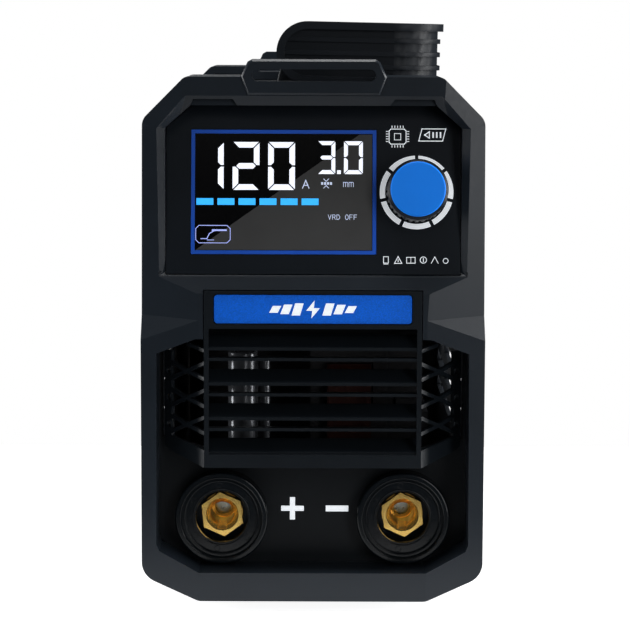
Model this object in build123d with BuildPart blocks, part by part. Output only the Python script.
"""Stick welding inverter with a folding handle, as separate named sub-parts.

Millimetres. +X is the operator's right, +Y runs to the rear, +Z is up and the feet stand on Z = 0.
Depth means the distance behind the front bumper's face, or in front of the rear bumper's face.
"""

import os
from math import cos, hypot, radians, sin, tan

from build123d import *

os.makedirs("parts", exist_ok=True)

# Overall sizes
BODY_LENGTH = 270.0
FRONT_Y = -131.85
REAR_Y = FRONT_Y + BODY_LENGTH
FOOT_HEIGHT = 4.2
UPPER_HALF_WIDTH = 64.2
LOWER_HALF_WIDTH = 65.0
TOP_Z = 203.4
LOOP_TOP_Z = 209.9
CHAMFER_LOW_Z = TOP_Z - 16.1
GAP = 0.3

# Bumpers
BUMPER_DEPTH = 40.0
BUMPER_WALL = 3.4
PANEL_DEPTH = 20.0
PANEL_THICKNESS = 2.5
LOOP_RAISE = 1.2
LOOP_THICKNESS = 7.0

# Console
CONSOLE_TILT = 9.4
CONSOLE_FOOT_Z = 129.4
CONSOLE_FOOT_DEPTH = 3.5
FASCIA_THICKNESS = 2.0
FASCIA_HALF_WIDTH = 55.4
FASCIA_HEIGHT = 63.9
SCREEN_LEFT = -46.1
SCREEN_RIGHT = 23.7
SCREEN_LOW = 7.5
SCREEN_HIGH = 54.5
KNOB_X = 38.9
KNOB_UP = 31.0

# Vent grille
VENT_HALF_WIDTH = 41.1
VENT_TOP_Z = 123.4
VENT_LOW_Z = 55.9
VENT_OPEN_LOW_Z = 60.9
PLATE_FRAME_LOW_Z = 109.0
SLAT_Z = (101.3, 97.3, 87.9, 83.8, 74.6, 70.5)
BLADE_Z = (101.3, 87.9, 74.6, 61.2)
LATTICE_ROW_Z = (92.8, 82.4, 72.1)
STRIP_START = 19.2
LATTICE_BACK_X = 57.0
LATTICE_BACK_DEPTH = 17.2

# Sockets
SOCKET_X = 35.0
SOCKET_Z = 33.8
SOCKET_FACE_DEPTH = 12.0
INSERT_FACE_DEPTH = 20.0
SOCKET_BORE_R = 4.6
SOCKET_BORE_LENGTH = 18.0

# Shell
SHELL_WALL = 1.8
SHELL_INSET = BUMPER_WALL + GAP
ROOF_Z = 197.0

# Handle
PIVOT_X = -2.5
PIVOT_Z = 212.0
HANDLE_ARM_DEPTH = 43.0
HANDLE_REACH = 51.2
HANDLE_HALF_HEIGHT = 12.1
HANDLE_WALL = 8.0
HANDLE_CORNER_R = 20.0
HANDLE_TILT = 1.1
RIM_BAND = 3.0
RIM_RAISE = 2.2
FIN_RAISE = 1.1
FIN_THICKNESS = 1.8
FIN_PITCH = 5.2
PIN_R = 4.0

# Rear
FAN_Z = 72.0
FAN_SIZE = 92.0
FAN_THICKNESS = 25.0
SWITCH_X = -28.0
SWITCH_Z = 152.0
GLAND_X = 26.0
GLAND_Z = 152.0

# Main board
BOARD_Z = 24.0
BOARD_THICKNESS = 1.6


def save(block, node):
    """Label a finished sub-part and write its STEP file."""
    block.part.label = node
    export_step(block.part, f"parts/{node}.step")


def mirrored(points):
    """Close a right-hand outline with its mirror image about the middle of the body."""
    left = [(-x, z) for x, z in reversed(points) if x > 0]
    return list(points) + left


def face_plane(depth, rear=False):
    """Upright plane at a depth behind the front face, or before the rear face, facing outwards."""
    if rear:
        return Plane(origin=(0, REAR_Y - depth, 0), x_dir=(-1, 0, 0), z_dir=(0, 1, 0))
    return Plane(origin=(0, FRONT_Y + depth, 0), x_dir=(1, 0, 0), z_dir=(0, -1, 0))


def tilted_plane(height):
    """The console plane at a height above the fascia's face; its Y runs up the fascia."""
    tilt = radians(CONSOLE_TILT)
    foot_y = FRONT_Y + CONSOLE_FOOT_DEPTH
    origin = (0, foot_y - height * cos(tilt), CONSOLE_FOOT_Z + height * sin(tilt))
    return Plane(origin=origin, x_dir=(1, 0, 0), z_dir=(0, -cos(tilt), sin(tilt)))


def flat(plane, points):
    """Polygon drawn on a plane, ready to extrude or loft."""
    with BuildSketch(plane) as shape:
        Polygon(*points, align=None)
    return shape.sketch


HALF_OUTLINE = (
    (0, TOP_Z),
    (48.1, TOP_Z),
    (UPPER_HALF_WIDTH, CHAMFER_LOW_Z),
    (UPPER_HALF_WIDTH + 0.5, 113.9),
    (LOWER_HALF_WIDTH, 104.5),
    (LOWER_HALF_WIDTH, 13.8),
    (43.3, FOOT_HEIGHT),
    (0, FOOT_HEIGHT),
)
CORNER_RADII = {1: 3.5, 2: 5.5, 5: 8.0, 6: 6.0}

# Corners of the front's slanted facets on the right half, as (x, z, depth)
RIDGE_TOP = (49.0, 198.0, 0)
RIDGE_MIDDLE = (43.8, 122.3, 0)
APEX = (43.1, 112.2, 0)
RIDGE_FOOT = (43.1, FOOT_HEIGHT, 0)
UPPER_SIDE = (64.7, 113.9, 4.3)
LOWER_SIDE = (65.0, 104.5, 1.5)
CHIN_TOP = (58.1, 128.2, 2.67)


def inset_outline(inset):
    """The body's outline moved inwards."""
    shift = inset * tan(radians(45 / 2))
    return mirrored([
        (48.1 - shift, TOP_Z - inset),
        (UPPER_HALF_WIDTH - inset, CHAMFER_LOW_Z - shift),
        (UPPER_HALF_WIDTH - inset, 113.9),
        (LOWER_HALF_WIDTH - inset, 104.5),
        (LOWER_HALF_WIDTH - inset, 13.8 + 0.65 * inset),
        (43.3 - 0.21 * inset, FOOT_HEIGHT + inset),
    ])


def facet(a, b, c):
    """Plane through three facet corners, facing away from the body."""
    first, second, third = [Vector(x, FRONT_Y + depth, z) for x, z, depth in (a, b, c)]
    return Plane(origin=first, z_dir=(second - first).cross(third - first))


def half_block(top_z):
    """Extrude the right half of the rounded outline, up to a height, to the bumper's depth."""
    with BuildSketch(face_plane(BUMPER_DEPTH)) as shape:
        Polygon(*HALF_OUTLINE, align=None)
        for corner, radius in CORNER_RADII.items():
            fillet(shape.vertices().sort_by_distance(HALF_OUTLINE[corner])[0], radius)
        with Locations((0, top_z + 150)):
            Rectangle(200, 300, mode=Mode.SUBTRACT)
    extrude(shape.sketch, amount=BUMPER_DEPTH)


def bumper_block():
    """Solid front bumper: flat in the middle, with facets slanting back towards both sides."""
    with BuildPart() as lower:
        half_block(UPPER_SIDE[1])
        split(bisect_by=facet(APEX, RIDGE_FOOT, LOWER_SIDE), keep=Keep.BOTTOM)
        split(bisect_by=facet(APEX, LOWER_SIDE, UPPER_SIDE), keep=Keep.BOTTOM)
    with BuildPart() as block:
        half_block(TOP_Z + 10)
        split(bisect_by=facet(RIDGE_TOP, RIDGE_MIDDLE, UPPER_SIDE), keep=Keep.BOTTOM)
        add(lower.part)
        mirror(about=Plane.YZ)
    return block.part


def strap_loop(rear):
    """Raised plate with bevelled edges at the top of a bumper."""
    plate = mirrored([(23.0, LOOP_TOP_Z), (24.6, LOOP_TOP_Z - 0.9), (27.2, TOP_Z), (24.6, 196.7)])
    face = mirrored([(22.8, LOOP_TOP_Z - 0.8), (24.0, LOOP_TOP_Z - 1.5), (26.4, TOP_Z - 0.1),
                     (24.1, 197.5)])
    base = face_plane(0, rear)
    extrude(flat(face_plane(LOOP_THICKNESS, rear), plate), amount=LOOP_THICKNESS + LOOP_RAISE - 0.8)
    loft([flat(base.offset(LOOP_RAISE - 0.8), plate), flat(base.offset(LOOP_RAISE), face)],
         ruled=True)


def strap_slot(rear):
    """Slot through the strap loop and the open space behind it, above the roof."""
    slot_low = 201.8
    slot_high = 206.2
    floor_top = 200.9
    floor_low = ROOF_Z + GAP
    back = face_plane(BUMPER_DEPTH, rear)
    with BuildSketch(back) as floor:
        with Locations((0, (floor_top + floor_low) / 2)):
            Rectangle(58, floor_top - floor_low)
    extrude(floor.sketch, amount=BUMPER_DEPTH - PANEL_DEPTH)
    with BuildSketch(back) as slot:
        with Locations((0, (slot_low + slot_high) / 2)):
            SlotOverall(46.3, slot_high - slot_low)
    extrude(slot.sketch, amount=BUMPER_DEPTH + 6, mode=Mode.SUBTRACT)
    with BuildSketch(back) as space:
        with Locations((0, floor_top + 5)):
            Rectangle(52, 10)
    extrude(space.sketch, amount=BUMPER_DEPTH - LOOP_THICKNESS, mode=Mode.SUBTRACT)


def console_recess():
    """Space in front of the tilted fascia, as a solid to cut away."""
    opening = mirrored([(46.0, 192.7), (55.7, 184.2), (55.7, CONSOLE_FOOT_Z - 0.4)])
    with BuildPart() as space:
        extrude(flat(face_plane(PANEL_DEPTH), opening), amount=PANEL_DEPTH + 1)
        split(bisect_by=tilted_plane(-FASCIA_THICKNESS), keep=Keep.TOP)
    return space.part


def front_bezel():
    """Front bumper with the console recess, the lower frame and the strap loop."""
    back_hole = mirrored([(43.0, 188.0), (52.6, 180.0), (52.6, 133.4)])
    bevel_outer = mirrored([(47.6, 196.4), (61.6, 184.1), (61.6, 126.5)])
    bevel_inner = mirrored([(50.2, 189.0), (55.7, 184.2), (55.7, 130.0)])
    lower_hole = mirrored([
        (VENT_HALF_WIDTH + GAP, VENT_TOP_Z + GAP),
        (VENT_HALF_WIDTH + GAP, 105.0),
        (44.4, 105.0),
        (59.0, 99.4),
        (59.4, 26.0),
        (58.4, 23.4),
        (43.2, 15.2),
    ])
    chin = [
        (FRONT_Y - 1, APEX[1]),
        (FRONT_Y, RIDGE_MIDDLE[1]),
        (FRONT_Y + CHIN_TOP[2], CHIN_TOP[1]),
        (FRONT_Y + CONSOLE_FOOT_DEPTH, CONSOLE_FOOT_Z + 1),
        (FRONT_Y - 1, CONSOLE_FOOT_Z + 1),
    ]
    with BuildPart() as bezel:
        add(bumper_block())
        strap_loop(False)
        with BuildSketch(face_plane(BUMPER_DEPTH)):
            Polygon(*inset_outline(BUMPER_WALL), align=None)
        extrude(amount=BUMPER_DEPTH - PANEL_DEPTH, mode=Mode.SUBTRACT)
        with BuildSketch(face_plane(PANEL_DEPTH + 1)):
            Polygon(*back_hole, align=None)
        extrude(amount=PANEL_DEPTH + 2, mode=Mode.SUBTRACT)
        add(console_recess(), mode=Mode.SUBTRACT)
        with BuildSketch(face_plane(-0.01)):
            Polygon(*bevel_outer, align=None)
        with BuildSketch(face_plane(4.4)):
            Polygon(*bevel_inner, align=None)
        loft(ruled=True, mode=Mode.SUBTRACT)
        with BuildSketch(Plane.YZ.offset(-CHIN_TOP[0])):
            Polygon(*chin, align=None)
        extrude(amount=2 * CHIN_TOP[0], mode=Mode.SUBTRACT)
        with BuildSketch(face_plane(3.2)):
            for side in (-1, 1):
                Polygon((side * 28.3, 192.5), (side * 30.2, 195.1), (side * 45.0, 195.1),
                        (side * 46.1, 192.5), align=None)
        extrude(amount=4, mode=Mode.SUBTRACT)
        with BuildSketch(face_plane(PANEL_DEPTH + 1)):
            Polygon(*lower_hole, align=None)
        extrude(amount=PANEL_DEPTH + 2, mode=Mode.SUBTRACT)
        with BuildSketch(face_plane(PANEL_DEPTH + 1)):
            with Locations((0, 118)):
                Rectangle(108, 17)
        extrude(amount=PANEL_DEPTH - 7, mode=Mode.SUBTRACT)
        strap_slot(False)
        screw_holes(False)
    save(bezel, "front_bezel")


def rear_bezel():
    """Rear bumper: the same outline with one large recess and a strap loop."""
    recess = mirrored([(45.8, 193.4), (57.0, 183.0), (57.0, 26.0), (43.2, 15.0)])
    with BuildPart() as bezel:
        add(mirror(bumper_block(), about=Plane.XZ.offset(-(FRONT_Y + REAR_Y) / 2)))
        strap_loop(True)
        with BuildSketch(face_plane(BUMPER_DEPTH, True)):
            Polygon(*inset_outline(BUMPER_WALL), align=None)
        extrude(amount=BUMPER_DEPTH - PANEL_DEPTH, mode=Mode.SUBTRACT)
        with BuildSketch(face_plane(PANEL_DEPTH + 1, True)):
            Polygon(*recess, align=None)
        extrude(amount=PANEL_DEPTH + 2, mode=Mode.SUBTRACT)
        strap_slot(True)
        screw_holes(True)
    save(bezel, "rear_bezel")


def front_panel():
    """Lower back panel of the front recess, with the air opening and two socket holes."""
    panel = mirrored([(58.0, 128.0), (60.0, 112.0), (60.6, 100.0), (60.6, 26.0), (43.0, 9.5)])
    opening = mirrored([(46.0, 104.5), (57.8, 99.0), (57.8, 64.5), (40.0, 60.0)])
    with BuildPart() as back:
        with BuildSketch(face_plane(PANEL_DEPTH + PANEL_THICKNESS)):
            Polygon(*panel, align=None)
            Polygon(*opening, align=None, mode=Mode.SUBTRACT)
            with Locations((-SOCKET_X, SOCKET_Z), (SOCKET_X, SOCKET_Z)):
                Circle(14.2, mode=Mode.SUBTRACT)
        extrude(amount=PANEL_THICKNESS)
    save(back, "front_panel")


def lattice_plane():
    """Plane of the right lattice face and its length; X runs from corner post to rear edge."""
    run_x = LATTICE_BACK_X - VENT_HALF_WIDTH
    run = hypot(run_x, LATTICE_BACK_DEPTH)
    along = (run_x / run, LATTICE_BACK_DEPTH / run, 0)
    normal = (along[1], -along[0], 0)
    return Plane(origin=(VENT_HALF_WIDTH, FRONT_Y, 0), x_dir=along, z_dir=normal), run


def vent_grille():
    """Louvred air inlet with a name plate frame and slanted lattice sides."""
    strand = 0.75
    wall = 1.6
    with BuildPart() as grille:
        with BuildSketch(face_plane(PANEL_DEPTH)):
            with Locations((0, (VENT_TOP_Z + PLATE_FRAME_LOW_Z) / 2)):
                Rectangle(2 * VENT_HALF_WIDTH, VENT_TOP_Z - PLATE_FRAME_LOW_Z)
        extrude(amount=PANEL_DEPTH)
        with BuildSketch(face_plane(PANEL_DEPTH)):
            with Locations((0, 115.5)):
                Rectangle(2 * VENT_HALF_WIDTH - 4, 10.5)
        extrude(amount=PANEL_DEPTH - 4, mode=Mode.SUBTRACT)
        with BuildSketch(face_plane(0)):
            with Locations((0, 116.4)):
                RectangleRounded(75.2, 11.6, 1.6)
        extrude(amount=-1.2, mode=Mode.SUBTRACT)
        with BuildSketch(face_plane(4)):
            with Locations((0, (VENT_LOW_Z + VENT_OPEN_LOW_Z) / 2)):
                Rectangle(2 * VENT_HALF_WIDTH, VENT_OPEN_LOW_Z - VENT_LOW_Z)
        extrude(amount=4)
        with BuildSketch(face_plane(5)):
            for z in SLAT_Z:
                with Locations((0, z)):
                    Rectangle(2 * VENT_HALF_WIDTH - 1, 1.1)
        extrude(amount=4.6)
        with BuildSketch(face_plane(2.4)):
            for side in (-1, 1):
                with Locations((side * (VENT_HALF_WIDTH - 0.9), (VENT_LOW_Z + VENT_TOP_Z) / 2)):
                    Rectangle(1.8, VENT_TOP_Z - VENT_LOW_Z)
        extrude(amount=2.4)
        for z in BLADE_Z:
            with BuildSketch(Plane.YZ.offset(0.5 - VENT_HALF_WIDTH)):
                Polygon((FRONT_Y + 1.2, z - 0.4), (FRONT_Y + 9.5, z + 3.6),
                        (FRONT_Y + 9.5, z + 4.6), (FRONT_Y + 1.2, z + 0.5), align=None)
            extrude(amount=2 * VENT_HALF_WIDTH - 1)
        plane, run = lattice_plane()
        with BuildSketch(plane):
            for row in LATTICE_ROW_Z:
                middle = row - 1.0
                for up in (-1, 1):
                    outer = row - 1.7 + up * 3.4
                    Polygon(
                        (0, row + up * 3.0 - strand), (0, row + up * 3.0 + strand),
                        (10.6, middle + strand), (10.6, middle - strand), align=None)
                    Polygon(
                        (10.6, middle - strand), (10.6, middle + strand),
                        (20.5, outer + strand), (20.5, outer - strand), align=None)
            Polygon((0, 100.0), (0, 101.4), (10.0, 102.9), (10.0, 101.5), align=None)
            Polygon(
                (0, VENT_LOW_Z), (0, VENT_OPEN_LOW_Z + 1.7), (20.0, 65.8),
                (run, 65.8), (run, 61.5), (18.0, 59.6), align=None)
            with Locations(((STRIP_START + run) / 2, 80.2)):
                Rectangle(run - STRIP_START, 37.2)
            with Locations(*[(20.7, row - 1.8) for row in LATTICE_ROW_Z]):
                Circle(1.4, mode=Mode.SUBTRACT)
        extrude(amount=-wall)
        with BuildSketch(Plane.XY.offset(62.0)):
            with Locations((LATTICE_BACK_X - 0.7, FRONT_Y + (LATTICE_BACK_DEPTH + PANEL_DEPTH) / 2)):
                Rectangle(1.2, PANEL_DEPTH - LATTICE_BACK_DEPTH)
        extrude(amount=36.8)
        mirror(about=Plane.YZ)
    save(grille, "vent_grille")


def name_plate():
    """Blank plate that fills the frame above the louvres."""
    with BuildPart() as plate:
        with BuildSketch(face_plane(1.2)):
            with Locations((0, 116.4)):
                RectangleRounded(74.4, 10.8, 1.3)
        extrude(amount=0.7)
    save(plate, "name_plate")


def control_fascia():
    """Tilted console panel with a screen window and an encoder hole."""
    outline = mirrored([
        (45.7, FASCIA_HEIGHT),
        (FASCIA_HALF_WIDTH, 55.4),
        (FASCIA_HALF_WIDTH, 0),
    ])
    screen_x = (SCREEN_LEFT + SCREEN_RIGHT) / 2
    screen_y = (SCREEN_LOW + SCREEN_HIGH) / 2
    with BuildPart() as fascia:
        with BuildSketch(tilted_plane(-FASCIA_THICKNESS)):
            Polygon(*outline, align=None)
            with Locations((screen_x, screen_y)):
                Rectangle(SCREEN_RIGHT - SCREEN_LEFT + 0.4, SCREEN_HIGH - SCREEN_LOW + 0.4,
                          mode=Mode.SUBTRACT)
            with Locations((KNOB_X, KNOB_UP)):
                Circle(4.2, mode=Mode.SUBTRACT)
        extrude(amount=FASCIA_THICKNESS)
    save(fascia, "control_fascia")


def display_pieces():
    """Screen frame, clear window and LCD module behind it."""
    screen_x = (SCREEN_LEFT + SCREEN_RIGHT) / 2
    screen_y = (SCREEN_LOW + SCREEN_HIGH) / 2
    wide = SCREEN_RIGHT - SCREEN_LEFT
    high = SCREEN_HIGH - SCREEN_LOW
    frame_width = 1.4
    with BuildPart() as frame:
        with BuildSketch(tilted_plane(-FASCIA_THICKNESS)):
            with Locations((screen_x, screen_y)):
                Rectangle(wide, high)
                Rectangle(wide - 2 * frame_width, high - 2 * frame_width, mode=Mode.SUBTRACT)
        extrude(amount=FASCIA_THICKNESS + 0.2)
    save(frame, "display_frame")
    with BuildPart() as window:
        with BuildSketch(tilted_plane(-FASCIA_THICKNESS)):
            with Locations((screen_x, screen_y)):
                Rectangle(wide - 2 * frame_width, high - 2 * frame_width)
        extrude(amount=FASCIA_THICKNESS)
    save(window, "display_window")
    with BuildPart() as module:
        with BuildSketch(tilted_plane(-FASCIA_THICKNESS - 5)):
            with Locations((screen_x, screen_y)):
                Rectangle(wide + 3, high + 2)
        extrude(amount=5)
    save(module, "lcd_module")


def control_board():
    """Circuit board behind the console, carrying the screen and the encoder."""
    board_height = -FASCIA_THICKNESS - 6.6
    with BuildPart() as board:
        with BuildSketch(tilted_plane(board_height)):
            with Locations((1.0, 30)):
                Rectangle(96, 46)
        extrude(amount=1.6)
        with BuildSketch(tilted_plane(board_height)):
            with Locations((-30, 20), (-12, 40), (8, 18)):
                Rectangle(9, 7)
        extrude(amount=-1.8)
        with BuildSketch(tilted_plane(board_height)):
            with Locations((-38, 44), (30, 16)):
                Rectangle(12, 5)
        extrude(amount=-6)
    save(board, "control_board")


def encoder_and_knob():
    """Encoder with a turning shaft and a push plunger, and the knob that it carries."""
    skirt_r = 11.4
    cap_r = 10.3
    knob_height = 14.5
    body_back = -FASCIA_THICKNESS - 5.0
    with BuildPart() as body:
        with BuildSketch(tilted_plane(body_back)):
            with Locations((KNOB_X, KNOB_UP)):
                Rectangle(12.6, 12.6)
        extrude(amount=5.0)
        with BuildSketch(tilted_plane(-FASCIA_THICKNESS)):
            with Locations((KNOB_X, KNOB_UP)):
                Circle(4.0)
        extrude(amount=FASCIA_THICKNESS + 0.8)
        with BuildSketch(tilted_plane(0.8)):
            with Locations((KNOB_X, KNOB_UP)):
                Circle(3.3)
        extrude(amount=-6.3, mode=Mode.SUBTRACT)
    save(body, "encoder_body")
    with BuildPart() as plunger:
        with BuildSketch(tilted_plane(-4.6)):
            with Locations((KNOB_X, KNOB_UP)):
                Circle(3.2)
                Circle(2.55, mode=Mode.SUBTRACT)
        extrude(amount=6.2)
        with BuildSketch(tilted_plane(-4.6)):
            with Locations((KNOB_X, KNOB_UP)):
                Circle(3.2)
        extrude(amount=0.8)
    save(plunger, "encoder_plunger")
    with BuildPart() as shaft:
        with BuildSketch(tilted_plane(-3.5)):
            with Locations((KNOB_X, KNOB_UP)):
                Circle(2.5)
        extrude(amount=14.0)
    save(shaft, "encoder_shaft")
    with BuildPart() as skirt:
        with BuildSketch(tilted_plane(1.6)):
            with Locations((KNOB_X, KNOB_UP)):
                Circle(skirt_r)
        extrude(amount=knob_height - 2.6)
        top_edges = skirt.faces().sort_by(Axis.Y)[0].edges()
        chamfer(top_edges, length=1.0)
        with BuildSketch(tilted_plane(1.6)):
            with Locations((KNOB_X, KNOB_UP)):
                Circle(8.5)
        extrude(amount=4.0, mode=Mode.SUBTRACT)
        with BuildSketch(tilted_plane(1.6)):
            with Locations((KNOB_X, KNOB_UP)):
                Circle(2.5)
        extrude(amount=8.9, mode=Mode.SUBTRACT)
        with BuildSketch(tilted_plane(1.6)):
            with Locations((KNOB_X, KNOB_UP)):
                with PolarLocations(skirt_r + 0.25, 30):
                    Circle(0.65)
        extrude(amount=knob_height - 5.0, mode=Mode.SUBTRACT)
    save(skirt, "knob_skirt")
    with BuildPart() as cap:
        with BuildSketch(tilted_plane(knob_height - 1.0)):
            with Locations((KNOB_X, KNOB_UP)):
                Circle(cap_r)
        extrude(amount=1.0)
        front_edge = cap.faces().sort_by(Axis.Y)[0].edges()
        fillet(front_edge, radius=0.6)
    save(cap, "knob_cap")
    with BuildPart() as ring:
        with BuildSketch(tilted_plane(0)):
            with Locations((KNOB_X, KNOB_UP)):
                Circle(13.9)
                Circle(11.9, mode=Mode.SUBTRACT)
                with PolarLocations(12.9, 7, start_angle=90):
                    Rectangle(4, 1.3, mode=Mode.SUBTRACT)
        extrude(amount=0.4)
    save(ring, "dial_ring")


def socket_pair():
    """Two weld cable sockets: black housings, ring nuts, brass inserts and clamping bolts."""
    for word, side in (("plus", -1), ("minus", 1)):
        spot = (side * SOCKET_X, SOCKET_Z)
        with BuildPart() as housing:
            with BuildSketch(face_plane(PANEL_DEPTH)):
                with Locations(spot):
                    Circle(17.9)
            extrude(amount=PANEL_DEPTH - SOCKET_FACE_DEPTH)
            outer = housing.faces().sort_by(Axis.Y)[0].edges()
            fillet(outer, radius=0.8)
            with BuildSketch(face_plane(SOCKET_FACE_DEPTH)):
                with Locations(spot):
                    Circle(15.9)
            extrude(amount=-2.0, mode=Mode.SUBTRACT)
            with BuildSketch(face_plane(SOCKET_FACE_DEPTH)):
                with Locations(spot):
                    Circle(14.1)
            extrude(amount=-3.2, mode=Mode.SUBTRACT)
            with BuildSketch(face_plane(PANEL_DEPTH)):
                with Locations(spot):
                    Circle(14.0)
            extrude(amount=-14.0)
            with BuildSketch(face_plane(SOCKET_FACE_DEPTH)):
                with Locations(spot):
                    Circle(10.1)
            extrude(amount=-12.0, mode=Mode.SUBTRACT)
            with BuildSketch(face_plane(PANEL_DEPTH)):
                with Locations(spot):
                    Circle(8.0)
            extrude(amount=-15.0, mode=Mode.SUBTRACT)
        save(housing, f"socket_housing_{word}")
        with BuildPart() as insert:
            with BuildSketch(face_plane(INSERT_FACE_DEPTH)):
                with Locations(spot):
                    RegularPolygon(8.75, 6, rotation=36)
            extrude(amount=-4.0)
            with BuildSketch(face_plane(INSERT_FACE_DEPTH + 4.0)):
                with Locations(spot):
                    Circle(7.95)
            extrude(amount=-20.0)
            with BuildSketch(face_plane(INSERT_FACE_DEPTH)):
                with Locations(spot):
                    Circle(SOCKET_BORE_R)
            extrude(amount=-SOCKET_BORE_LENGTH, mode=Mode.SUBTRACT)
            with BuildSketch(face_plane(INSERT_FACE_DEPTH)):
                with Locations((spot[0], spot[1] - 4.0)):
                    Rectangle(3.3, 3.6)
            extrude(amount=-10.0, mode=Mode.SUBTRACT)
            with BuildSketch(face_plane(INSERT_FACE_DEPTH - 0.01)):
                with Locations(spot):
                    Circle(6.4)
            with BuildSketch(face_plane(INSERT_FACE_DEPTH + 1.8)):
                with Locations(spot):
                    Circle(SOCKET_BORE_R)
            loft(ruled=True, mode=Mode.SUBTRACT)
            with BuildSketch(face_plane(INSERT_FACE_DEPTH)):
                with Locations(spot):
                    Circle(3.6)
            extrude(amount=-30, mode=Mode.SUBTRACT)
        save(insert, f"socket_insert_{word}")


def socket_fasteners():
    """Ring nuts behind the panel, and bolts that clamp the busbars to the inserts."""
    spots = ((-SOCKET_X, SOCKET_Z), (SOCKET_X, SOCKET_Z))
    with BuildPart() as nuts:
        with BuildSketch(face_plane(PANEL_DEPTH + PANEL_THICKNESS)):
            with Locations(*spots):
                RegularPolygon(18.5, 6, rotation=30)
                Circle(14.05, mode=Mode.SUBTRACT)
        extrude(amount=-5.0)
    save(nuts, "socket_nuts")
    tip_depth = INSERT_FACE_DEPTH + SOCKET_BORE_LENGTH + 0.3
    head_depth = INSERT_FACE_DEPTH + 26.0
    with BuildPart() as bolts:
        with BuildSketch(face_plane(head_depth)):
            with Locations(*spots):
                Circle(3.55)
        extrude(amount=head_depth - tip_depth)
        chamfer(bolts.faces().sort_by(Axis.Y)[:2].edges(), length=0.8)
        with BuildSketch(face_plane(head_depth)):
            with Locations(*spots):
                RegularPolygon(6.8, 6)
        extrude(amount=-5.0)
    save(bolts, "socket_bolts")


def polarity_marks():
    """Printed plus and minus signs between the sockets."""
    with BuildPart() as marks:
        with BuildSketch(face_plane(PANEL_DEPTH)):
            with Locations((-7.7, 36.3)):
                Rectangle(8.8, 2.0)
                Rectangle(2.0, 8.8)
            with Locations((9.6, 36.3)):
                Rectangle(8.8, 2.3)
        extrude(amount=0.3)
    save(marks, "polarity_marks")


def side_vent_points(middle_y, middle_z):
    """Slanted slot in a side wall, as points along Y and Z."""
    half_length = 25.5
    half_height = 3.0
    slant = 4.0
    return [
        (middle_y - half_length + slant, middle_z - half_height),
        (middle_y + half_length + slant, middle_z - half_height),
        (middle_y + half_length - slant, middle_z + half_height),
        (middle_y - half_length - slant, middle_z + half_height),
    ]


def shell_outline(inset):
    """Section of the cover and tray together, inside the bumpers' walls."""
    side = UPPER_HALF_WIDTH - SHELL_INSET - inset
    shift = inset * 0.42
    return mirrored([
        (47.6 - shift, ROOF_Z - inset),
        (side, 184.4 - shift),
        (side, 24.0 + shift),
        (side - 5.6, 16.4 + shift),
        (40.0 - shift, 8.4 + inset),
    ])


SHELL_FRONT_DEPTH = 24.0
SPLIT_Z = 32.0


def upper_shell():
    """Cover with side vents; it slides into both bumpers and closes over the tray."""
    length = BODY_LENGTH - 2 * SHELL_FRONT_DEPTH
    with BuildPart() as shell:
        with BuildSketch(face_plane(SHELL_FRONT_DEPTH + length)):
            Polygon(*shell_outline(0), align=None)
            Polygon(*shell_outline(SHELL_WALL), align=None, mode=Mode.SUBTRACT)
            with Locations((0, SPLIT_Z / 2)):
                Rectangle(140, SPLIT_Z, mode=Mode.SUBTRACT)
        extrude(amount=length)
        for row_z in (57.6, 69.3, 81.0, 92.7, 104.4):
            for middle_y in (FRONT_Y + 72, FRONT_Y + 132, FRONT_Y + 192):
                with BuildSketch(Plane.YZ.offset(-70)):
                    Polygon(*side_vent_points(middle_y, row_z), align=None)
                extrude(amount=140, mode=Mode.SUBTRACT)
        for y in (FRONT_Y + COVER_SCREW_DEPTH, REAR_Y - COVER_SCREW_DEPTH):
            with BuildSketch(Plane.YZ.offset(-70)):
                with Locations(*[(y, z) for z in COVER_SCREW_Z]):
                    Circle(1.6)
            extrude(amount=140, mode=Mode.SUBTRACT)
    save(shell, "upper_shell")


def base_tray():
    """Bottom tray between the bumpers."""
    length = BODY_LENGTH - 2 * SHELL_FRONT_DEPTH
    with BuildPart() as tray:
        with BuildSketch(face_plane(SHELL_FRONT_DEPTH + length)):
            Polygon(*shell_outline(0), align=None)
            Polygon(*shell_outline(SHELL_WALL), align=None, mode=Mode.SUBTRACT)
            with Locations((0, SPLIT_Z + 100)):
                Rectangle(140, 200, mode=Mode.SUBTRACT)
        extrude(amount=length)
        with BuildSketch(Plane.XY.offset(8.4)):
            with GridLocations(68, 160, 2, 2):
                Circle(2.2)
        extrude(amount=SHELL_WALL, mode=Mode.SUBTRACT)
    save(tray, "base_tray")


def feet():
    """Rubber feet and the screws that hold them to the tray."""
    with BuildPart() as pads:
        with BuildSketch(Plane.XY):
            with GridLocations(68, 160, 2, 2):
                Circle(9.0)
        extrude(amount=8.4, taper=-4)
        with BuildSketch(Plane.XY):
            with GridLocations(68, 160, 2, 2):
                Circle(4.6)
        extrude(amount=4.0, mode=Mode.SUBTRACT)
        with BuildSketch(Plane.XY):
            with GridLocations(68, 160, 2, 2):
                Circle(2.0)
        extrude(amount=9.0, mode=Mode.SUBTRACT)
    save(pads, "feet")
    with BuildPart() as screws:
        with BuildSketch(Plane.XY.offset(4.0)):
            with GridLocations(68, 160, 2, 2):
                Circle(2.0)
        extrude(amount=10.0)
        with BuildSketch(Plane.XY.offset(1.8)):
            with GridLocations(68, 160, 2, 2):
                Circle(3.8)
        extrude(amount=2.2)
    save(screws, "foot_screws")


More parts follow.
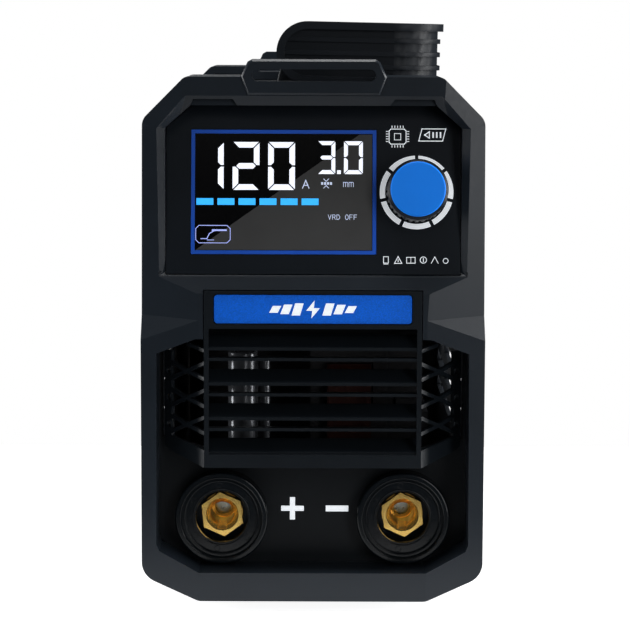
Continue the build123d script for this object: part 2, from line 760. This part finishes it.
def rear_panel():
    """Rear panel with the fan opening and the holes for switch, gland and earth stud."""
    outline = mirrored([(45.0, 195.0), (59.6, 181.0), (60.0, 26.0), (43.0, 9.5)])
    hole_pitch = FAN_SIZE - 10
    with BuildPart() as panel:
        with BuildSketch(face_plane(PANEL_DEPTH + PANEL_THICKNESS, True)):
            Polygon(*outline, align=None)
            with Locations((0, FAN_Z)):
                Circle(43.0, mode=Mode.SUBTRACT)
                with GridLocations(hole_pitch, hole_pitch, 2, 2):
                    Circle(2.2, mode=Mode.SUBTRACT)
            with Locations((-SWITCH_X, SWITCH_Z)):
                Rectangle(22.0, 29.0, mode=Mode.SUBTRACT)
            with Locations((-GLAND_X, GLAND_Z)):
                Circle(10.2, mode=Mode.SUBTRACT)
            with Locations((0, 134)):
                Circle(3.1, mode=Mode.SUBTRACT)
        extrude(amount=PANEL_THICKNESS)
    save(panel, "rear_panel")


def fan_guard():
    """Wire guard over the fan: rings joined by four spokes and four screw eyes."""
    hole_pitch = FAN_SIZE - 10
    with BuildPart() as guard:
        with BuildSketch(face_plane(PANEL_DEPTH, True)):
            with Locations((0, FAN_Z)):
                for ring_r in (42, 34, 26, 18, 10):
                    Circle(ring_r + 0.9)
                    Circle(ring_r - 0.9, mode=Mode.SUBTRACT)
                Circle(6.0)
        extrude(amount=1.8)
        with BuildSketch(face_plane(PANEL_DEPTH - 0.9, True)):
            with Locations((0, FAN_Z)):
                with PolarLocations(32, 4, start_angle=45):
                    Rectangle(54, 1.8)
        extrude(amount=1.8)
        with BuildSketch(face_plane(PANEL_DEPTH, True)):
            with Locations((0, FAN_Z)):
                with GridLocations(hole_pitch, hole_pitch, 2, 2):
                    Circle(4.4)
        extrude(amount=2.7)
        with BuildSketch(face_plane(PANEL_DEPTH, True)):
            with Locations((0, FAN_Z)):
                with GridLocations(hole_pitch, hole_pitch, 2, 2):
                    Circle(2.2)
        extrude(amount=2.7, mode=Mode.SUBTRACT)
    save(guard, "fan_guard")


def fan():
    """Axial fan: square frame with a motor hub on struts, and a seven-bladed rotor."""
    frame_depth = PANEL_DEPTH + PANEL_THICKNESS
    hole_pitch = FAN_SIZE - 10
    blade_turn = 38.0
    with BuildPart() as frame:
        with BuildSketch(face_plane(frame_depth + FAN_THICKNESS, True)):
            with Locations((0, FAN_Z)):
                RectangleRounded(FAN_SIZE, FAN_SIZE, 5)
                Circle(43.0, mode=Mode.SUBTRACT)
                with GridLocations(hole_pitch, hole_pitch, 2, 2):
                    Circle(2.2, mode=Mode.SUBTRACT)
        extrude(amount=FAN_THICKNESS)
        with BuildSketch(face_plane(frame_depth + FAN_THICKNESS, True)):
            with Locations((0, FAN_Z)):
                Circle(17.0)
                with PolarLocations(30, 4):
                    Rectangle(28, 4.0)
        extrude(amount=3.0)
        with BuildSketch(face_plane(frame_depth + FAN_THICKNESS - 3.0, True)):
            with Locations((0, FAN_Z)):
                Circle(3.0)
        extrude(amount=12.0)
    save(frame, "fan_frame")
    with BuildPart() as rotor:
        with BuildSketch(face_plane(frame_depth + FAN_THICKNESS - 4.0, True)):
            with Locations((0, FAN_Z)):
                Circle(17.0)
        extrude(amount=19.0)
        with BuildSketch(face_plane(frame_depth + FAN_THICKNESS - 4.0, True)):
            with Locations((0, FAN_Z)):
                Circle(3.05)
        extrude(amount=12.5, mode=Mode.SUBTRACT)
        for turn in range(7):
            spin = radians(360 / 7 * turn)
            middle = (30.0 * cos(spin), REAR_Y - frame_depth - FAN_THICKNESS / 2 - 0.5,
                      FAN_Z + 30.0 * sin(spin))
            outward = (cos(spin), 0, sin(spin))
            around = (-sin(spin), 0, cos(spin))
            lean = radians(blade_turn)
            normal = (around[0] * cos(lean), sin(lean), around[2] * cos(lean))
            with BuildSketch(Plane(origin=middle, x_dir=outward, z_dir=normal)):
                Rectangle(23.6, 21.0)
            extrude(amount=0.8, both=True)
    save(rotor, "fan_rotor")
    with BuildPart() as screws:
        with BuildSketch(face_plane(PANEL_DEPTH - 2.7, True)):
            with Locations((0, FAN_Z)):
                with GridLocations(hole_pitch, hole_pitch, 2, 2):
                    Circle(2.0)
        extrude(amount=-14.0)
        with BuildSketch(face_plane(PANEL_DEPTH - 2.7, True)):
            with Locations((0, FAN_Z)):
                with GridLocations(hole_pitch, hole_pitch, 2, 2):
                    Circle(3.8)
        extrude(amount=2.0)
    save(screws, "fan_screws")


def power_switch():
    """Rocker power switch: a framed body and a rocker that tips about a crossways axis."""
    rock = 12.0
    pivot_y = REAR_Y - PANEL_DEPTH - 2.0
    with BuildPart() as body:
        with BuildSketch(face_plane(PANEL_DEPTH, True)):
            with Locations((-SWITCH_X, SWITCH_Z)):
                RectangleRounded(25.0, 32.0, 1.5)
        extrude(amount=2.2)
        with BuildSketch(face_plane(PANEL_DEPTH, True)):
            with Locations((-SWITCH_X, SWITCH_Z)):
                Rectangle(21.6, 28.6)
        extrude(amount=-22.0)
        with BuildSketch(face_plane(PANEL_DEPTH - 2.2, True)):
            with Locations((-SWITCH_X, SWITCH_Z)):
                Rectangle(17.0, 25.6)
        extrude(amount=-16.0, mode=Mode.SUBTRACT)
        with BuildSketch(face_plane(PANEL_DEPTH + 22.0, True)):
            with Locations((-SWITCH_X - 5, SWITCH_Z - 8), (-SWITCH_X + 5, SWITCH_Z - 8),
                           (-SWITCH_X - 5, SWITCH_Z + 8), (-SWITCH_X + 5, SWITCH_Z + 8)):
                Rectangle(1.0, 6.3)
        extrude(amount=-8.0)
        with BuildSketch(Plane.YZ.offset(SWITCH_X - 9.8)):
            with Locations((pivot_y, SWITCH_Z)):
                Circle(1.55)
        extrude(amount=19.6, mode=Mode.SUBTRACT)
    save(body, "switch_body")
    lean = radians(rock)
    up = (0, sin(lean), cos(lean))
    side_plane = Plane(origin=(SWITCH_X - 8.0, pivot_y, SWITCH_Z), x_dir=up, z_dir=(1, 0, 0))
    with BuildPart() as rocker:
        with BuildSketch(side_plane):
            Polygon((-10.5, -6.6), (0, -4.6), (10.5, -6.6), (10.2, 0), (4.0, 4.0), (-4.0, 4.0),
                    (-10.2, 0), align=None)
        extrude(amount=16.0)
        with BuildSketch(Plane.YZ.offset(SWITCH_X - 9.5)):
            with Locations((pivot_y, SWITCH_Z)):
                Circle(1.5)
        extrude(amount=19.0)
    save(rocker, "switch_rocker")


def cable_gland():
    """Mains cable gland in the rear panel, with its cap nut and lock nut."""
    spot = (-GLAND_X, GLAND_Z)
    with BuildPart() as body:
        with BuildSketch(face_plane(PANEL_DEPTH, True)):
            with Locations(spot):
                RegularPolygon(13.5, 6)
        extrude(amount=5.0)
        with BuildSketch(face_plane(PANEL_DEPTH, True)):
            with Locations(spot):
                Circle(10.0)
        extrude(amount=12.0)
        with BuildSketch(face_plane(PANEL_DEPTH, True)):
            with Locations(spot):
                Circle(10.0)
        extrude(amount=-12.0)
        with BuildSketch(face_plane(PANEL_DEPTH + 12.0, True)):
            with Locations(spot):
                Circle(5.5)
        extrude(amount=24.5, mode=Mode.SUBTRACT)
    save(body, "gland_body")
    with BuildPart() as cap:
        with BuildSketch(face_plane(PANEL_DEPTH - 5.0, True)):
            with Locations(spot):
                Circle(12.6)
                Circle(10.0, mode=Mode.SUBTRACT)
        extrude(amount=7.0)
        with BuildSketch(face_plane(PANEL_DEPTH - 12.0, True)):
            with Locations(spot):
                Circle(12.6)
        with BuildSketch(face_plane(PANEL_DEPTH - 17.0, True)):
            with Locations(spot):
                Circle(7.4)
        loft()
        with BuildSketch(face_plane(PANEL_DEPTH - 12.0, True)):
            with Locations(spot):
                Circle(5.5)
        extrude(amount=6.0, mode=Mode.SUBTRACT)
    save(cap, "gland_cap")
    with BuildPart() as nut:
        with BuildSketch(face_plane(PANEL_DEPTH + PANEL_THICKNESS, True)):
            with Locations(spot):
                RegularPolygon(13.5, 6)
                Circle(10.0, mode=Mode.SUBTRACT)
        extrude(amount=-5.0)
    save(nut, "gland_lock_nut")


def earth_stud():
    """Protective earth stud with a hexagon nut on the rear panel."""
    with BuildPart() as stud:
        with BuildSketch(face_plane(PANEL_DEPTH + PANEL_THICKNESS + 5.0, True)):
            with Locations((0, 134)):
                Circle(2.95)
        extrude(amount=21.0)
        tip = stud.faces().sort_by(Axis.Y)[-1].edges()
        chamfer(tip, length=0.6)
        with BuildSketch(face_plane(PANEL_DEPTH + PANEL_THICKNESS, True)):
            with Locations((0, 134)):
                RegularPolygon(5.7, 6)
        extrude(amount=-4.0)
    save(stud, "earth_stud")
    with BuildPart() as nut:
        with BuildSketch(face_plane(PANEL_DEPTH, True)):
            with Locations((0, 134)):
                Circle(6.4)
        extrude(amount=1.2)
        with BuildSketch(face_plane(PANEL_DEPTH - 1.2, True)):
            with Locations((0, 134)):
                RegularPolygon(5.7, 6)
        extrude(amount=4.6)
        with BuildSketch(face_plane(PANEL_DEPTH, True)):
            with Locations((0, 134)):
                Circle(2.95)
        extrude(amount=6.0, mode=Mode.SUBTRACT)
    save(nut, "earth_nut")


def handle_plane(height):
    """Plane across the folded handle's strap at a height from its middle; X runs outwards."""
    tilt = radians(HANDLE_TILT)
    origin = (PIVOT_X + height * sin(tilt), FRONT_Y + BODY_LENGTH / 2, PIVOT_Z + height * cos(tilt))
    return Plane(origin=origin, x_dir=(cos(tilt), 0, -sin(tilt)), z_dir=(sin(tilt), 0, cos(tilt)))


def handle_plan(raise_by, thickness):
    """Plan shape of the U-shaped strap, with its outer face raised by an amount."""
    reach = HANDLE_REACH - PIVOT_X - RIM_RAISE + raise_by
    half_span = BODY_LENGTH / 2 - HANDLE_ARM_DEPTH - RIM_RAISE + raise_by
    start = -HANDLE_HALF_HEIGHT - 1
    corner = HANDLE_CORNER_R - RIM_RAISE + raise_by
    inner_reach = reach - thickness
    inner_half = half_span - thickness
    inner_corner = corner - thickness
    with BuildLine() as path:
        Polyline((start, half_span), (reach - corner, half_span))
        RadiusArc((reach - corner, half_span), (reach, half_span - corner), corner)
        Polyline((reach, half_span - corner), (reach, -half_span + corner))
        RadiusArc((reach, -half_span + corner), (reach - corner, -half_span), corner)
        Polyline((reach - corner, -half_span), (start, -half_span), (start, -inner_half),
                 (inner_reach - inner_corner, -inner_half))
        RadiusArc((inner_reach - inner_corner, -inner_half),
                  (inner_reach, -inner_half + inner_corner), -inner_corner)
        Polyline((inner_reach, -inner_half + inner_corner), (inner_reach, inner_half - inner_corner))
        RadiusArc((inner_reach, inner_half - inner_corner),
                  (inner_reach - inner_corner, inner_half), -inner_corner)
        Polyline((inner_reach - inner_corner, inner_half), (start, inner_half), (start, half_span))
    return path.line


def handle_end_plane():
    """Upright plane through the pivot axis for the handle's rounded ends, facing forwards."""
    tilt = radians(HANDLE_TILT)
    return Plane(origin=(PIVOT_X, FRONT_Y, PIVOT_Z), x_dir=(cos(tilt), 0, -sin(tilt)),
                 z_dir=(0, -1, 0))


def handle():
    """Folding U-shaped carrying handle with raised rims and fins, folded to the right."""
    low = -HANDLE_HALF_HEIGHT
    full = 2 * HANDLE_HALF_HEIGHT
    with BuildPart() as bail:
        with BuildSketch(handle_plane(low)):
            make_face(handle_plan(0, HANDLE_WALL).edges())
        extrude(amount=full)
        for base in (low, HANDLE_HALF_HEIGHT - RIM_BAND):
            with BuildSketch(handle_plane(base)):
                make_face(handle_plan(RIM_RAISE, HANDLE_WALL).edges())
            extrude(amount=RIM_BAND)
        for step in (-1, 0, 1):
            with BuildSketch(handle_plane(step * FIN_PITCH - FIN_THICKNESS / 2)):
                make_face(handle_plan(FIN_RAISE, HANDLE_WALL).edges())
            extrude(amount=FIN_THICKNESS)
        for arm_depth in (HANDLE_ARM_DEPTH, BODY_LENGTH - HANDLE_ARM_DEPTH - RIM_RAISE):
            with BuildSketch(handle_end_plane().offset(-arm_depth - RIM_RAISE)):
                Circle(HANDLE_HALF_HEIGHT)
                Circle(HANDLE_HALF_HEIGHT - RIM_BAND, mode=Mode.SUBTRACT)
                with Locations((HANDLE_HALF_HEIGHT, 0)):
                    Rectangle(full, full + 1, mode=Mode.SUBTRACT)
            extrude(amount=RIM_RAISE)
        with BuildSketch(handle_end_plane()):
            with Locations((60, 0)):
                Rectangle(120, full)
            Circle(HANDLE_HALF_HEIGHT)
        extrude(amount=-BODY_LENGTH, mode=Mode.INTERSECT)
        with BuildSketch(handle_end_plane().offset(-HANDLE_ARM_DEPTH - RIM_RAISE - 3.0)):
            Circle(PIN_R + 0.05)
        pin_span = BODY_LENGTH - 2 * (HANDLE_ARM_DEPTH + RIM_RAISE + 3.0)
        extrude(amount=-pin_span, mode=Mode.SUBTRACT)
    save(bail, "handle")


def handle_brackets():
    """Posts on the roof inboard of the handle's arms, and the pins that carry the handle."""
    inner_depth = HANDLE_ARM_DEPTH + RIM_RAISE + HANDLE_WALL + 0.4
    post = 9.0
    with BuildPart() as posts:
        for depth in (inner_depth + post, BODY_LENGTH - inner_depth):
            with BuildSketch(face_plane(depth)):
                with Locations((PIVOT_X, PIVOT_Z)):
                    Circle(9.0)
                Polygon((PIVOT_X - 9, PIVOT_Z), (PIVOT_X + 9, PIVOT_Z), (PIVOT_X + 13, ROOF_Z),
                        (PIVOT_X - 13, ROOF_Z), align=None)
                with Locations((PIVOT_X, PIVOT_Z)):
                    Circle(PIN_R, mode=Mode.SUBTRACT)
            extrude(amount=post)
    save(posts, "handle_brackets")
    pin_tip = HANDLE_ARM_DEPTH + RIM_RAISE + 3.4
    with BuildPart() as pins:
        for near, far in ((pin_tip, inner_depth + post),
                          (BODY_LENGTH - inner_depth - post, BODY_LENGTH - pin_tip)):
            with BuildSketch(face_plane(far)):
                with Locations((PIVOT_X, PIVOT_Z)):
                    Circle(PIN_R)
            extrude(amount=far - near)
    save(pins, "handle_pins")


def main_board():
    """Power board over the tray, on brass standoffs."""
    spots = [(x, y) for x in (-36.5, 36.5) for y in (-71.5, 71.5)]
    with BuildPart() as board:
        with BuildSketch(Plane.XY.offset(BOARD_Z)):
            with Locations((0, 0)):
                Rectangle(92, 150)
            with Locations(*spots):
                Circle(1.7, mode=Mode.SUBTRACT)
        extrude(amount=BOARD_THICKNESS)
    save(board, "main_board")
    with BuildPart() as standoffs:
        for x, y in spots:
            with BuildSketch(Plane.XY.offset(8.4 + SHELL_WALL)):
                with Locations((x, y)):
                    RegularPolygon(3.2, 6)
            extrude(amount=BOARD_Z - 8.4 - SHELL_WALL)
            with BuildSketch(Plane.XY.offset(BOARD_Z)):
                with Locations((x, y)):
                    Circle(1.7)
            extrude(amount=BOARD_THICKNESS)
            with BuildSketch(Plane.XY.offset(BOARD_Z + BOARD_THICKNESS)):
                with Locations((x, y)):
                    Circle(2.8)
            extrude(amount=2.0)
    save(standoffs, "board_standoffs")


def power_parts():
    """Parts on the main board: capacitors, heat sinks, transistors, bridge and relay."""
    top = BOARD_Z + BOARD_THICKNESS
    with BuildPart() as caps:
        with BuildSketch(Plane.XY.offset(top)):
            with Locations((-28.5, -66.8), (-28.5, -53.5)):
                Circle(5.8)
        extrude(amount=66.0)
        fillet(caps.faces().sort_by(Axis.Z)[-2:].edges(), radius=0.8)
        with BuildSketch(Plane.XY.offset(top)):
            with Locations((-19.6, -66.8)):
                Circle(2.3)
        extrude(amount=64.0)
    save(caps, "capacitors")
    for word, side in (("left", -1), ("right", 1)):
        with BuildPart() as sink:
            with BuildSketch(Plane.XZ.offset(10)):
                with Locations((side * 44.0, top + 40)):
                    Rectangle(3.0, 70)
                for step in range(9):
                    with Locations((side * 36.5, top + 8 + step * 8.0)):
                        Rectangle(13.0, 1.4)
            extrude(amount=-80)
        save(sink, f"heat_sink_{word}")
    with BuildPart() as transistors:
        for side in (-1, 1):
            with BuildSketch(Plane.YZ.offset(side * 45.5)):
                with Locations(*[(y, top + 22) for y in (-2, 18, 38, 58)]):
                    Rectangle(15.0, 20.0)
            extrude(amount=side * 4.0)
    save(transistors, "transistors")
    with BuildPart() as bridge:
        with BuildSketch(Plane.XY.offset(top)):
            with Locations((24, -62)):
                Rectangle(18, 14)
        extrude(amount=10.0)
    save(bridge, "rectifier_bridge")
    with BuildPart() as relay:
        with BuildSketch(Plane.XY.offset(top)):
            with Locations((-28, -30)):
                Rectangle(18, 22)
        extrude(amount=19.0)
    save(relay, "softstart_relay")


def inner_sheets():
    """Upright driver board across the case, and the insulating sheet on the left wall."""
    top = BOARD_Z + BOARD_THICKNESS
    with BuildPart() as board:
        with BuildSketch(Plane.XZ.offset(14.0)):
            with Locations((0, top + 37)):
                Rectangle(94, 74)
        extrude(amount=-1.6)
        with BuildSketch(Plane.XZ.offset(14.0)):
            with Locations((-36, 86), (-20, 72), (4, 90), (30, 84), (40, 62)):
                Rectangle(9, 5)
        extrude(amount=2.2)
    save(board, "driver_board")
    wall_x = UPPER_HALF_WIDTH - SHELL_INSET - SHELL_WALL
    with BuildPart() as sheet:
        with BuildSketch(Plane.YZ.offset(-wall_x)):
            with Locations((FRONT_Y + 161.0, 80.0)):
                Rectangle(128.0, 88.0)
        extrude(amount=0.5)
    save(sheet, "insulation_sheet")


def magnetics():
    """Ferrite transformer and output choke, each a core with its copper winding."""
    top = BOARD_Z + BOARD_THICKNESS
    front = 24.0
    with BuildPart() as core:
        with BuildSketch(Plane.XZ.offset(front)):
            with Locations((15, top + 33)):
                Rectangle(32, 66)
            with Locations((15, top + 17), (15, top + 49)):
                Rectangle(20, 19, mode=Mode.SUBTRACT)
        extrude(amount=22)
    save(core, "transformer_core")
    with BuildPart() as winding:
        with BuildSketch(Plane.YZ.offset(6.0)):
            with Locations((-front - 11, top + 33)):
                RectangleRounded(34, 50, 5)
                Rectangle(22.6, 13.6, mode=Mode.SUBTRACT)
        extrude(amount=18.0)
    save(winding, "transformer_winding")
    with BuildPart() as choke:
        with BuildSketch(Plane.XZ.offset(-56)):
            with Locations((0, top + 22)):
                Circle(15)
                Circle(9, mode=Mode.SUBTRACT)
        extrude(amount=-12)
    save(choke, "choke_core")
    with BuildPart() as coil:
        for turn in range(14):
            spin = radians(360 / 14 * turn)
            middle = (12.0 * cos(spin), 62.0, top + 22 + 12.0 * sin(spin))
            around = (-sin(spin), 0, cos(spin))
            with BuildSketch(Plane(origin=middle, x_dir=(cos(spin), 0, sin(spin)), z_dir=around)):
                RectangleRounded(11.0, 17.0, 1.0)
                Rectangle(6.2, 12.2, mode=Mode.SUBTRACT)
            extrude(amount=1.0, both=True)
    save(coil, "choke_winding")


def busbars():
    """Copper straps from the power board to the two sockets."""
    top = BOARD_Z + BOARD_THICKNESS
    bolt_face = INSERT_FACE_DEPTH + 24.0
    for word, side in (("plus", -1), ("minus", 1)):
        with BuildPart() as bar:
            with BuildSketch(face_plane(bolt_face + 2.0)):
                with Locations((side * SOCKET_X, SOCKET_Z)):
                    Rectangle(16, 16)
                    Circle(3.7, mode=Mode.SUBTRACT)
            extrude(amount=2.0)
            with BuildSketch(Plane.XY.offset(top)):
                with Locations((side * SOCKET_X, FRONT_Y + bolt_face + 6.8)):
                    Rectangle(12, 13.6)
            extrude(amount=2.0)
        save(bar, f"busbar_{word}")


COVER_SCREW_Z = (44.0, 168.0)
COVER_SCREW_DEPTH = 31.0


def screw_holes(rear):
    """Counterbored holes for the cover screws in both sides of a bumper."""
    y = REAR_Y - COVER_SCREW_DEPTH if rear else FRONT_Y + COVER_SCREW_DEPTH
    for side in (-1, 1):
        outside = Plane.YZ.offset(side * 66)
        for radius, length in ((1.7, 10.0), (3.9, 66 - 62.4)):
            with BuildSketch(outside) as hole:
                with Locations(*[(y, z) for z in COVER_SCREW_Z]):
                    Circle(radius)
            extrude(hole.sketch, amount=-side * length, mode=Mode.SUBTRACT)


def cover_screws():
    """Screws along both sides that hold the cover to the bumpers."""
    ends = (FRONT_Y + COVER_SCREW_DEPTH, REAR_Y - COVER_SCREW_DEPTH)
    spots = [(y, z) for y in ends for z in COVER_SCREW_Z]
    with BuildPart() as screws:
        for side in (-1, 1):
            with BuildSketch(Plane.YZ.offset(side * 62.4)):
                with Locations(*spots):
                    Circle(3.6)
            extrude(amount=side * 1.2)
            with BuildSketch(Plane.YZ.offset(side * 62.4)):
                with Locations(*spots):
                    Circle(1.5)
            extrude(amount=-side * 5.0)
    save(screws, "cover_screws")


def rest_pads():
    """Rubber pads on the roof, one under the folded handle and one for the other side."""
    with BuildPart() as pads:
        with BuildSketch(Plane.XY.offset(ROOF_Z)):
            for x in (PIVOT_X - 43.2, PIVOT_X + 43.2):
                with Locations((x, FRONT_Y + BODY_LENGTH / 2)):
                    RectangleRounded(3.4, 30, 1)
        extrude(amount=1.7)
    save(pads, "rest_pads")


front_bezel()
rear_bezel()
front_panel()
vent_grille()
name_plate()
control_fascia()
display_pieces()
control_board()
encoder_and_knob()
socket_pair()
socket_fasteners()
polarity_marks()
upper_shell()
base_tray()
feet()
rear_panel()
fan_guard()
fan()
power_switch()
cable_gland()
earth_stud()
handle()
handle_brackets()
rest_pads()
main_board()
power_parts()
inner_sheets()
magnetics()
busbars()
cover_screws()
